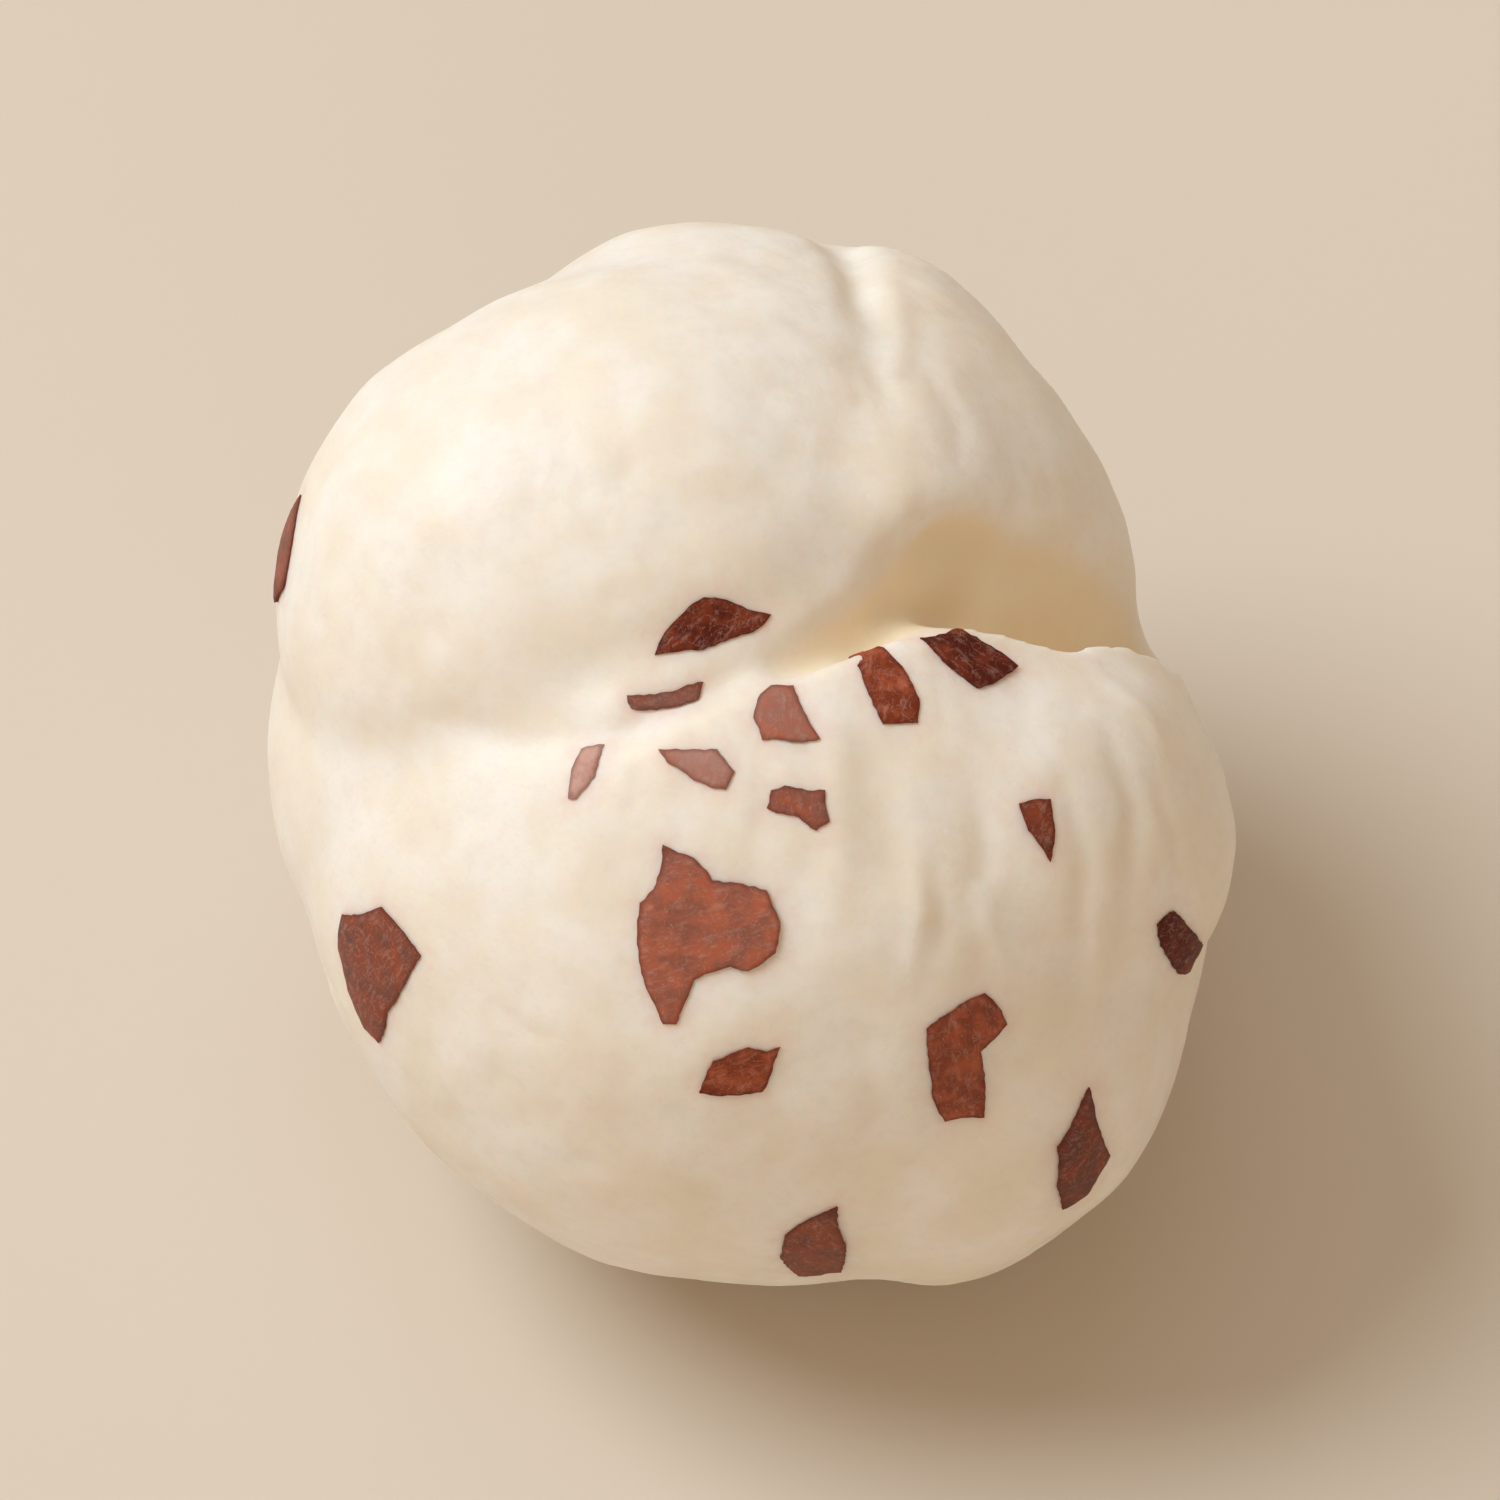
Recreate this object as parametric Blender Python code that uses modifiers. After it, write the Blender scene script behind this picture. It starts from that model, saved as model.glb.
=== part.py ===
"""A fox nut: the popped kernel of a prickly water lily seed, life size, as one closed solid.

Units are metres and +Z is up. The nut lies on a small flat spot, and the origin is on the
surface that it lies on, under the middle of the nut.

The kernel is laid out in the nut's own axes, in millimetres: across runs to the right, up
runs over the crown, and near comes out of the face with the cleft. That face leans back by
LEAN as the nut lies. Lobes that puffed out run together, folds are cut between them, and
flakes of the torn seed coat stand a little proud of the skin.
"""

import math
import random

import bmesh
import bpy
from mathutils import Matrix, Vector
from mathutils.bvhtree import BVHTree

MM = 0.001
CLEAR_OF_NUT = 30 * MM

# How the nut lies
LEAN = math.radians(34)
FLAT_SPOT_DEPTH = 0.35 * MM

# Lobes: centre (across, up, near), radii, turn about the near axis in degrees
LOBES = {
    "belly": ((0.35, -2.2, 0.0), (10.5, 9.9, 9.4), 0),
    "left_cheek": ((-4.2, 0.2, -0.8), (6.7, 7.8, 7.6), 0),
    "lower_lip": ((4.8, -1.6, 2.4), (6.3, 5.3, 5.9), -11),
    "cap": ((-2.6, 4.3, 2.0), (8.4, 6.8, 6.5), 24),
    "crown": ((-0.9, 6.5, 0.0), (5.8, 5.7, 6.4), 0),
    "horn": ((4.0, 5.3, -0.6), (4.2, 6.8, 6.4), 28),
    "bridge": ((2.6, 5.2, 1.2), (4.6, 5.0, 6.0), 0),
    "heel": ((3.9, -5.3, 0.6), (6.2, 6.7, 6.6), 0),
    "back": ((0.0, 0.1, -4.1), (8.4, 8.6, 6.8), 0),
}

# Folds: the way the fold burrows besides straight in, and its course along the skin, as
# (across, up, near, half width, depth)
FOLDS = {
    "cleft": ((0, -1.5, 0), [
        (-4.6, 0.4, 9.0, 0.2, 0.3),
        (-3.0, 0.8, 9.0, 0.25, 0.6),
        (-1.0, 1.7, 9.0, 0.3, 0.9),
        (1.2, 2.75, 8.8, 0.3, 1.2),
        (2.4, 3.75, 8.6, 0.35, 1.7),
        (3.4, 4.3, 8.3, 0.35, 2.2),
        (4.4, 4.65, 7.8, 0.4, 2.5),
        (5.4, 4.5, 7.1, 0.55, 2.7),
        (7.0, 3.8, 5.4, 0.9, 3.2),
        (8.8, 3.4, 2.2, 0.95, 3.0),
        (9.6, 2.9, -1.0, 0.7, 2.2),
    ]),
    "under_lip": ((0, 0.5, 0), [
        (0.8, 2.5, 9.0, 0.3, 0.3),
        (2.0, 3.2, 8.8, 0.5, 0.7),
        (3.2, 3.7, 8.4, 0.6, 1.1),
        (4.4, 4.0, 7.9, 0.7, 1.2),
        (5.6, 4.25, 7.2, 0.75, 1.1),
        (6.8, 4.3, 6.2, 0.85, 1.0),
        (8.0, 4.2, 4.6, 0.8, 0.8),
        (8.9, 4.0, 2.6, 0.6, 0.4),
    ]),
    "cheek_crease": ((0, 0, 0), [
        (-8.0, 0.6, 6.5, 0.4, 0.1),
        (-5.6, 0.4, 8.0, 0.5, 0.25),
        (-3.2, 0.6, 9.0, 0.4, 0.4),
    ]),
    "horn_valley": ((0, 0, 0), [
        (2.2, 11.3, 0.0, 0.6, 0.6),
        (2.5, 10.0, 3.5, 0.45, 0.4),
        (2.5, 9.0, 5.0, 0.35, 0.3),
        (2.2, 7.8, 6.3, 0.3, 0.1),
    ]),
    "back_seam": ((0, 0, 0), [
        (-9.5, 3.0, -3.0, 0.4, 0.3),
        (-7.0, 6.0, -5.0, 0.6, 0.7),
        (-3.6, 8.0, -5.6, 0.8, 1.0),
        (-0.5, 8.0, -6.2, 0.7, 0.8),
        (2.0, 6.4, -7.4, 0.7, 0.9),
        (3.4, 3.4, -8.8, 0.6, 0.7),
        (4.0, 0.0, -9.6, 0.4, 0.3),
    ]),
    "back_pleat": ((0, 0, 0), [
        (-4.0, 7.0, -6.6, 0.5, 0.5),
        (-4.8, 4.0, -8.6, 0.6, 0.6),
        (-4.6, 0.4, -9.6, 0.4, 0.3),
    ]),
    "scar": ((0, 0, 0), [
        (-4.8, 7.7, -5.2, 0.4, 0.9),
        (-3.4, 8.2, -5.5, 0.7, 1.6),
        (-2.0, 8.4, -5.8, 0.4, 0.9),
    ]),
}
FOLD_STEPS = 5
FOLD_OVERLAP = 0.5

# The skin: how far lobes and fold lips are smoothed, and its swellings between the folds
LOBE_SMOOTHING = 8
FOLD_SMOOTHING = 2
LIP_SMOOTHING = 9
SWELLING_SIZE = 6 * MM
SWELLING_HEIGHT = 0.5 * MM
SKIN_GRAIN = 0.25 * MM
KERNEL_TRIANGLES = 4800

# Flakes of seed coat on the near face: centre (across, up) and the corners round it
FACE_FLAKES = {
    "leaf": ((-0.8, 2.8), [(-1.3, -0.6), (-0.2, -0.5), (0.9, -0.1), (1.3, 0.3), (0.4, 0.6),
                           (-0.2, 0.7), (-0.9, 0.1)]),
    "bar": ((-1.9, 1.3), [(-0.7, -0.3), (0.0, -0.3), (0.8, -0.1), (0.9, 0.3), (0.2, 0.1),
                          (-0.8, 0.0)]),
    "sliver": ((-3.6, -0.4), [(-0.4, -0.6), (-0.2, -0.6), (0.2, -0.1), (0.4, 0.6), (-0.1, 0.5)]),
    "wedge": ((-1.1, -0.3), [(-0.7, 0.1), (-0.1, -0.3), (0.6, -0.5), (0.8, -0.1), (0.4, 0.4),
                             (-0.9, 0.4)]),
    "trapeze": ((0.9, 0.9), [(-0.8, -0.1), (-0.6, -0.6), (-0.2, -0.6), (0.7, -0.6), (0.1, 0.6),
                             (-0.4, 0.6), (-0.7, 0.3)]),
    "block": ((1.1, -1.2), [(-0.7, 0.0), (0.0, -0.2), (0.4, -0.5), (0.7, -0.3), (0.6, 0.4),
                            (-0.3, 0.5), (-0.6, 0.4)]),
    "brick": ((3.0, 1.6), [(0.0, -1.0), (0.8, -1.0), (0.8, -0.4), (-0.1, 1.0), (-0.8, 0.8)]),
    "shard": ((4.9, 2.1), [(-0.3, -0.3), (0.2, -0.7), (1.1, -0.2), (-0.2, 0.8), (-1.0, 0.8)]),
    "boot": ((-0.9, -4.0), [(-1.5, 0.7), (-1.4, -1.1), (-1.0, -2.0), (-0.7, -2.0), (-0.3, -1.0),
                            (0.5, -0.7), (0.9, -0.8), (1.5, -0.4), (1.6, 0.3), (1.3, 1.0),
                            (0.1, 1.2), (-0.3, 1.7), (-1.0, 2.0), (-1.2, 1.0)]),
    "lozenge": ((-8.2, -4.9), [(-0.8, -0.4), (-0.7, -1.4), (-0.1, -1.6), (0.1, -0.9), (0.5, -0.3),
                               (0.9, 0.4), (0.0, 1.5), (-0.9, 1.3), (-1.0, 0.5)]),
    "spur": ((-0.2, -7.0), [(0.5, -0.5), (0.7, -0.1), (0.9, 0.5), (0.6, 0.4), (0.2, 0.5),
                            (-0.6, 0.2), (-0.9, -0.5)]),
    "tooth": ((6.3, -1.7), [(0.3, -0.7), (0.4, 0.0), (0.3, 0.7), (-0.4, 0.6), (-0.2, 0.0)]),
    "chip": ((9.7, -4.3), [(-0.5, 0.0), (-0.1, -0.6), (0.6, -0.8), (0.7, -0.1), (-0.2, 0.8),
                           (-0.6, 0.5)]),
    "elbow": ((4.85, -6.8), [(-0.5, -1.4), (0.4, -1.3), (0.3, 0.2), (0.9, 0.8), (0.4, 1.5),
                            (-0.5, 1.0), (-0.9, 0.7), (-0.8, -0.4)]),
    "spindle": ((7.5, -8.9), [(-0.6, -0.8), (-0.3, -1.6), (0.1, -1.0), (0.6, -0.1), (0.3, 0.6),
                              (0.1, 1.5), (-0.2, 0.8), (-0.6, 0.1)]),
    "brim": ((1.4, -11.1), [(-0.7, -0.2), (-0.3, -1.0), (0.7, -0.8), (0.8, 0.1), (0.6, 1.0),
                            (-0.6, 0.3)]),
}

# Flakes on the hidden sides: a patch's middle (across, up, near), spread in degrees, count
HIDDEN_PATCHES = [
    ((-1.0, 0.45, 0.24), 0, 1),
    ((-0.9, -0.1, -0.5), 17, 6),
    ((-0.7, 0.7, -0.4), 17, 5),
    ((0.3, 0.9, -0.5), 18, 6),
    ((0.9, 0.0, -0.5), 18, 7),
    ((0.2, -0.5, -0.8), 18, 4),
]
HIDDEN_SEED = 11
HIDDEN_LIMIT = -0.25
HIDDEN_SPACING = math.radians(15)
SCAR_CLEARANCE = math.radians(16)
REST_CLEARANCE = math.radians(24)

# A torn flake: half lengths to choose from, its proportions, and how uneven its corners are
FLAKE_LENGTHS = (0.7, 0.8, 0.9, 1.0, 1.2, 1.5, 1.9)
FLAKE_SLIMNESS = (0.45, 0.85)
FLAKE_CORNERS = (5, 8)
CORNER_STRAY = 0.28
CORNER_REACH = (0.72, 1.12)
FLAKE_THICKNESS = 0.14 * MM
FLAKE_REACH = 0.9 * MM

KERNEL_COLOUR = (0.86, 0.79, 0.67)
KERNEL_ROUGHNESS = 0.45
COAT_COLOUR = (0.24, 0.07, 0.035)
COAT_ROUGHNESS = 0.4
SHARP_EDGE = math.radians(40)


def paint(name, colour, roughness):
    material = bpy.data.materials.new(name)
    material.use_nodes = True
    surface = material.node_tree.nodes["Principled BSDF"]
    surface.inputs["Base Color"].default_value = (*colour, 1)
    surface.inputs["Roughness"].default_value = roughness
    surface.inputs["Metallic"].default_value = 0
    return material


def new_object(name, mesh, collection, parent):
    obj = bpy.data.objects.new(name, mesh)
    collection.objects.link(obj)
    obj.parent = parent
    return obj


def mesh_object(name, bm, collection, parent):
    mesh = bpy.data.meshes.new(name)
    bm.to_mesh(mesh)
    bm.free()
    return new_object(name, mesh, collection, parent)


def add_modifier(obj, kind, **settings):
    modifier = obj.modifiers.new(kind.title(), kind)
    for setting, value in settings.items():
        setattr(modifier, setting, value)
    return modifier


def apply_modifiers(obj):
    """Make the object's evaluated shape its own mesh."""
    depsgraph = bpy.context.evaluated_depsgraph_get()
    shaped = bpy.data.meshes.new_from_object(obj.evaluated_get(depsgraph))
    drawn = obj.data
    obj.modifiers.clear()
    obj.data = shaped
    bpy.data.meshes.remove(drawn)


def skin_of(obj):
    """The object's surface in the nut's own axes, for finding points on it."""
    bm = bmesh.new()
    bm.from_mesh(obj.data)
    skin = BVHTree.FromBMesh(bm)
    bm.free()
    return skin


def hide_cutter(obj):
    obj.hide_render = True
    obj.display_type = "WIRE"


def run_together(obj, smoothing):
    """Blend overlapping ellipsoids into one smooth skin."""
    add_modifier(obj, "REMESH", mode="VOXEL", voxel_size=SKIN_GRAIN)
    add_modifier(obj, "SMOOTH", factor=0.5, iterations=smoothing)
    apply_modifiers(obj)


def puffed_lobes(collection, axes):
    bm = bmesh.new()
    for centre, radii, turn in LOBES.values():
        bmesh.ops.create_icosphere(
            bm, subdivisions=4, radius=MM,
            matrix=(Matrix.Translation(Vector(centre) * MM)
                    @ Matrix.Rotation(math.radians(turn), 4, "Z")
                    @ Matrix.Diagonal((*radii, 1))))
    kernel = mesh_object("fox_nut", bm, collection, axes)
    run_together(kernel, LOBE_SMOOTHING)
    return kernel


def sink_fold(bm, burrow, course, skin):
    """Add a chain of flat ellipsoids, sunk in the skin along a fold's course."""
    stations = []
    for here, after in zip(course, course[1:]):
        for step in range(FOLD_STEPS):
            share = step / FOLD_STEPS
            stations.append([a + (b - a) * share for a, b in zip(here, after)])
    stations.append(course[-1])
    for index, (across, up, near, half_width, depth) in enumerate(stations):
        before = Vector(stations[max(index - 1, 0)][:3])
        after = Vector(stations[min(index + 1, len(stations) - 1)][:3])
        point, normal, _, _ = skin.find_nearest(Vector((across, up, near)) * MM)
        out = (normal - Vector(burrow)).normalized()
        wall = out.cross(after - before).normalized()
        frame = Matrix((wall.cross(out), wall, out)).transposed().to_4x4()
        size = Matrix.Diagonal((half_width + FOLD_OVERLAP, half_width, depth, 1))
        bmesh.ops.create_icosphere(bm, subdivisions=3, radius=MM,
                                   matrix=Matrix.Translation(point) @ frame @ size)


def fold_kernel(kernel, cutters, axes):
    """Cut the folds, soften their lips and let the skin swell unevenly."""
    skin = skin_of(kernel)
    bm = bmesh.new()
    for burrow, course in FOLDS.values():
        sink_fold(bm, burrow, course, skin)
    folds = mesh_object("folds", bm, cutters, axes)
    run_together(folds, FOLD_SMOOTHING)
    hide_cutter(folds)
    add_modifier(kernel, "BOOLEAN", operation="DIFFERENCE", solver="EXACT", object=folds)
    add_modifier(kernel, "REMESH", mode="VOXEL", voxel_size=SKIN_GRAIN)
    add_modifier(kernel, "SMOOTH", factor=0.5, iterations=LIP_SMOOTHING)
    swelling = bpy.data.textures.new("swelling", "CLOUDS")
    swelling.noise_scale = SWELLING_SIZE
    swelling.noise_depth = 1
    add_modifier(kernel, "DISPLACE", texture=swelling, texture_coords="LOCAL",
                 strength=SWELLING_HEIGHT, mid_level=0.5)
    apply_modifiers(kernel)
    triangles = 2 * len(kernel.data.polygons)
    add_modifier(kernel, "DECIMATE", ratio=KERNEL_TRIANGLES / triangles)
    apply_modifiers(kernel)


def flake_prism(bm, corners, origin, right, top, out):
    """Add a flat outline, extruded through the skin and out of it again."""
    base = [bm.verts.new(origin + right * x * MM + top * y * MM - out * FLAKE_REACH)
            for x, y in corners]
    outline = bm.faces.new(base)
    raised = bmesh.ops.extrude_face_region(bm, geom=[outline])["geom"]
    bmesh.ops.translate(bm, vec=out * 2 * FLAKE_REACH,
                        verts=[v for v in raised if isinstance(v, bmesh.types.BMVert)])


def ragged_corners(draw):
    """A torn flake's outline: a few corners round a stretched and turned oval."""
    length = draw.choice(FLAKE_LENGTHS)
    width = length * draw.uniform(*FLAKE_SLIMNESS)
    turn = draw.uniform(0, math.tau)
    count = draw.randint(*FLAKE_CORNERS)
    corners = []
    for index in range(count):
        angle = math.tau * (index + draw.uniform(-CORNER_STRAY, CORNER_STRAY)) / count
        reach = draw.uniform(*CORNER_REACH)
        x = length * reach * math.cos(angle)
        y = width * reach * math.sin(angle)
        corners.append((x * math.cos(turn) - y * math.sin(turn),
                        x * math.sin(turn) + y * math.cos(turn)))
    return corners


def hidden_flakes():
    """Draw a direction and an outline for each flake on the hidden sides."""
    draw = random.Random(HIDDEN_SEED)
    scar = Vector(FOLDS["scar"][1][1][:3]).normalized()
    down = Vector((0, -math.sin(LEAN), -math.cos(LEAN)))
    flakes = []
    for middle, spread, count in HIDDEN_PATCHES:
        placed = 0
        while placed < count:
            wander = math.tan(math.radians(spread))
            stray = Vector([draw.gauss(0, wander) for _ in range(3)])
            direction = (Vector(middle).normalized() + stray).normalized()
            clear = ((direction.z < HIDDEN_LIMIT or spread == 0)
                     and direction.angle(scar) > SCAR_CLEARANCE
                     and direction.angle(down) > REST_CLEARANCE
                     and all(direction.angle(other) > HIDDEN_SPACING for other, _ in flakes))
            if clear:
                flakes.append((direction, ragged_corners(draw)))
                placed += 1
    return flakes


def seed_coat_flakes(kernel, cutters, axes):
    """The thin shell of seed coat round the kernel, cut down to the flakes that are left."""
    skin = skin_of(kernel)
    bm = bmesh.new()
    across, up, near = Matrix.Identity(3)
    for (x, y), corners in FACE_FLAKES.values():
        start = Vector((x * MM, y * MM, CLEAR_OF_NUT))
        point = skin.ray_cast(start, -near)[0]
        flake_prism(bm, corners, point, across, up, near)
    for direction, corners in hidden_flakes():
        point, normal, _, _ = skin.ray_cast(direction * CLEAR_OF_NUT, -direction)
        right = up.cross(normal).normalized()
        flake_prism(bm, corners, point, right, normal.cross(right), normal)
    outlines = mesh_object("flake_outlines", bm, cutters, axes)
    hide_cutter(outlines)
    coat = new_object("seed_coat", kernel.data.copy(), cutters, axes)
    coat.data.materials.clear()
    for drawn in (outlines, coat):
        drawn.data.materials.append(bpy.data.materials["seed_coat"])
    add_modifier(coat, "DISPLACE", strength=FLAKE_THICKNESS, mid_level=0)
    add_modifier(coat, "BOOLEAN", operation="INTERSECT", solver="EXACT", object=outlines)
    hide_cutter(coat)
    return coat


def lowest_and_highest(obj):
    corners = [obj.matrix_world @ vertex.co for vertex in obj.data.vertices]
    return [Vector([pick(corner[axis] for corner in corners) for axis in range(3)])
            for pick in (min, max)]


def rest_on_flat_spot(kernel, cutters, axes):
    """Flatten the lowest point and stand the nut on it, over the origin."""
    lowest, highest = lowest_and_highest(kernel)
    size = 2 * (highest - lowest).length
    bm = bmesh.new()
    bmesh.ops.create_cube(bm, size=size)
    ground = mesh_object("ground", bm, cutters, None)
    ground.location.z = lowest.z + FLAT_SPOT_DEPTH - size / 2
    hide_cutter(ground)
    add_modifier(kernel, "BOOLEAN", operation="DIFFERENCE", solver="EXACT", object=ground)
    apply_modifiers(kernel)
    bpy.data.objects.remove(ground)
    lowest, highest = lowest_and_highest(kernel)
    middle = (lowest + highest) / 2
    axes.location -= Vector((middle.x, middle.y, lowest.z))


def build():
    for obj in list(bpy.data.objects):
        bpy.data.objects.remove(obj)
    nut = bpy.data.collections.new("fox_nut")
    cutters = bpy.data.collections.new("cutters")
    for collection in (nut, cutters):
        bpy.context.scene.collection.children.link(collection)
    axes = new_object("nut_axes", None, nut, None)
    axes.rotation_euler.x = LEAN
    bpy.context.view_layer.update()

    kernel = puffed_lobes(nut, axes)
    fold_kernel(kernel, cutters, axes)
    kernel.data.materials.append(paint("popped_kernel", KERNEL_COLOUR, KERNEL_ROUGHNESS))
    paint("seed_coat", COAT_COLOUR, COAT_ROUGHNESS)
    flakes = seed_coat_flakes(kernel, cutters, axes)
    add_modifier(kernel, "BOOLEAN", operation="UNION", solver="EXACT", object=flakes,
                 material_mode="TRANSFER")
    apply_modifiers(kernel)
    rest_on_flat_spot(kernel, cutters, axes)
    kernel.data.shade_smooth()
    kernel.data.set_sharp_from_angle(angle=SHARP_EDGE)
    for cutter in list(cutters.objects):
        bpy.data.objects.remove(cutter)


build()
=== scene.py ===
"""The looks of one popped fox nut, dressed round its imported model. Metres, +Z up."""

import math
import random

import bmesh
import bpy
import numpy as np
from mathutils import Matrix, Vector, noise as fractal
from mathutils.bvhtree import BVHTree
from mathutils.geometry import delaunay_2d_cdt


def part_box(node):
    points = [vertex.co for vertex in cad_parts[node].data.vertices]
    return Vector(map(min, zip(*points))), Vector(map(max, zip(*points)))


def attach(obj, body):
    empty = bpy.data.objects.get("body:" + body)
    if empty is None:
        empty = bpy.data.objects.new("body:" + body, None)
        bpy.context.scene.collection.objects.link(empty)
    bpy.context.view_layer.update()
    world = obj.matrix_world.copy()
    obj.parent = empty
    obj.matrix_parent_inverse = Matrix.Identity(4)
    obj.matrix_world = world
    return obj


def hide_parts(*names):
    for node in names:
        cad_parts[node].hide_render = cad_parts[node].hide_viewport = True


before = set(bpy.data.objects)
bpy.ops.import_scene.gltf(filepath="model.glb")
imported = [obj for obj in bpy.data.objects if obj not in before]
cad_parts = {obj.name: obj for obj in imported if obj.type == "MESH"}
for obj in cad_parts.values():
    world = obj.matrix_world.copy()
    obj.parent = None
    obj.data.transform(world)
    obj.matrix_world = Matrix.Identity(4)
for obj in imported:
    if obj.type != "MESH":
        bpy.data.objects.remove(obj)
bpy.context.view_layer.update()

# Popped kernel
# One body of starch that foamed up and set as the seed burst. Its lobes ran together, with
# deep folds where they met, and its skin dried drawn and dimpled. It is laid out in its own
# axes, in millimetres: across to the right, up over the crown, near out of the cleft face.

MM = 0.001
LEAN = math.radians(34)
FLAT_SPOT_DEPTH = 0.35 * MM
CUT_TOLERANCE = 0.0001 * MM

LOBES = {
    "belly": ((0.35, -2.2, 0.0), (10.5, 9.9, 9.4), 0),
    "left_cheek": ((-4.2, 0.2, -0.8), (6.7, 7.8, 7.6), 0),
    "lower_lip": ((4.8, -1.6, 2.4), (6.3, 5.3, 5.9), -11),
    "cap": ((-2.6, 4.3, 2.0), (8.4, 6.8, 6.5), 24),
    "crown": ((-0.9, 6.5, 0.0), (5.8, 5.7, 6.4), 0),
    "horn": ((4.0, 5.3, -0.6), (4.2, 6.8, 6.4), 28),
    "bridge": ((2.6, 5.2, 1.2), (4.6, 5.0, 6.0), 0),
    "heel": ((3.9, -5.3, 0.6), (6.2, 6.7, 6.6), 0),
    "back": ((0.0, 0.1, -4.1), (8.4, 8.6, 6.8), 0),
}

# Each fold's way in, and its course as (across, up, near, half width, depth)
FOLDS = {
    "cleft": ((0, -1.5, 0), [
        (-4.6, 0.4, 9.0, 0.2, 0.3),
        (-3.0, 0.8, 9.0, 0.25, 0.6),
        (-1.0, 1.7, 9.0, 0.3, 0.9),
        (1.2, 2.75, 8.8, 0.3, 1.2),
        (2.4, 3.75, 8.6, 0.35, 1.7),
        (3.4, 4.3, 8.3, 0.35, 2.2),
        (4.4, 4.65, 7.8, 0.4, 2.5),
        (5.4, 4.5, 7.1, 0.55, 2.7),
        (7.0, 3.8, 5.4, 0.9, 3.2),
        (8.8, 3.4, 2.2, 0.95, 3.0),
        (9.6, 2.9, -1.0, 0.7, 2.2),
    ]),
    "under_lip": ((0, 0.5, 0), [
        (0.8, 2.5, 9.0, 0.3, 0.3),
        (2.0, 3.2, 8.8, 0.5, 0.7),
        (3.2, 3.7, 8.4, 0.6, 1.1),
        (4.4, 4.0, 7.9, 0.7, 1.2),
        (5.6, 4.25, 7.2, 0.75, 1.1),
        (6.8, 4.3, 6.2, 0.85, 1.0),
        (8.0, 4.2, 4.6, 0.8, 0.8),
        (8.9, 4.0, 2.6, 0.6, 0.4),
    ]),
    "cheek_crease": ((0, 0, 0), [
        (-8.0, 0.6, 6.5, 0.4, 0.1),
        (-5.6, 0.4, 8.0, 0.5, 0.25),
        (-3.2, 0.6, 9.0, 0.4, 0.4),
    ]),
    "horn_valley": ((0, 0, 0), [
        (2.2, 11.3, 0.0, 0.6, 0.6),
        (2.5, 10.0, 3.5, 0.45, 0.4),
        (2.5, 9.0, 5.0, 0.35, 0.3),
        (2.2, 7.8, 6.3, 0.3, 0.1),
    ]),
    "back_seam": ((0, 0, 0), [
        (-9.5, 3.0, -3.0, 0.4, 0.3),
        (-7.0, 6.0, -5.0, 0.6, 0.7),
        (-3.6, 8.0, -5.6, 0.8, 1.0),
        (-0.5, 8.0, -6.2, 0.7, 0.8),
        (2.0, 6.4, -7.4, 0.7, 0.9),
        (3.4, 3.4, -8.8, 0.6, 0.7),
        (4.0, 0.0, -9.6, 0.4, 0.3),
    ]),
    "back_pleat": ((0, 0, 0), [
        (-4.0, 7.0, -6.6, 0.5, 0.5),
        (-4.8, 4.0, -8.6, 0.6, 0.6),
        (-4.6, 0.4, -9.6, 0.4, 0.3),
    ]),
    "scar": ((0, 0, 0), [
        (-4.8, 7.7, -5.2, 0.4, 0.9),
        (-3.4, 8.2, -5.5, 0.7, 1.6),
        (-2.0, 8.4, -5.8, 0.4, 0.9),
    ]),
}
FOLD_STEPS = 5
FOLD_OVERLAP = 0.5

COARSE_GRAIN = 0.25 * MM
FINE_GRAIN = 0.158 * MM
LOBE_SMOOTHING = 8
FOLD_SMOOTHING = 2
LIP_SMOOTHING = 9
SKIN_SMOOTHING = 6

# The noise's size and the height between its hollows and its humps
SWELLING = (6 * MM, 0.5 * MM)
RIPPLING = (2.4 * MM, 0.16 * MM)

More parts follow.
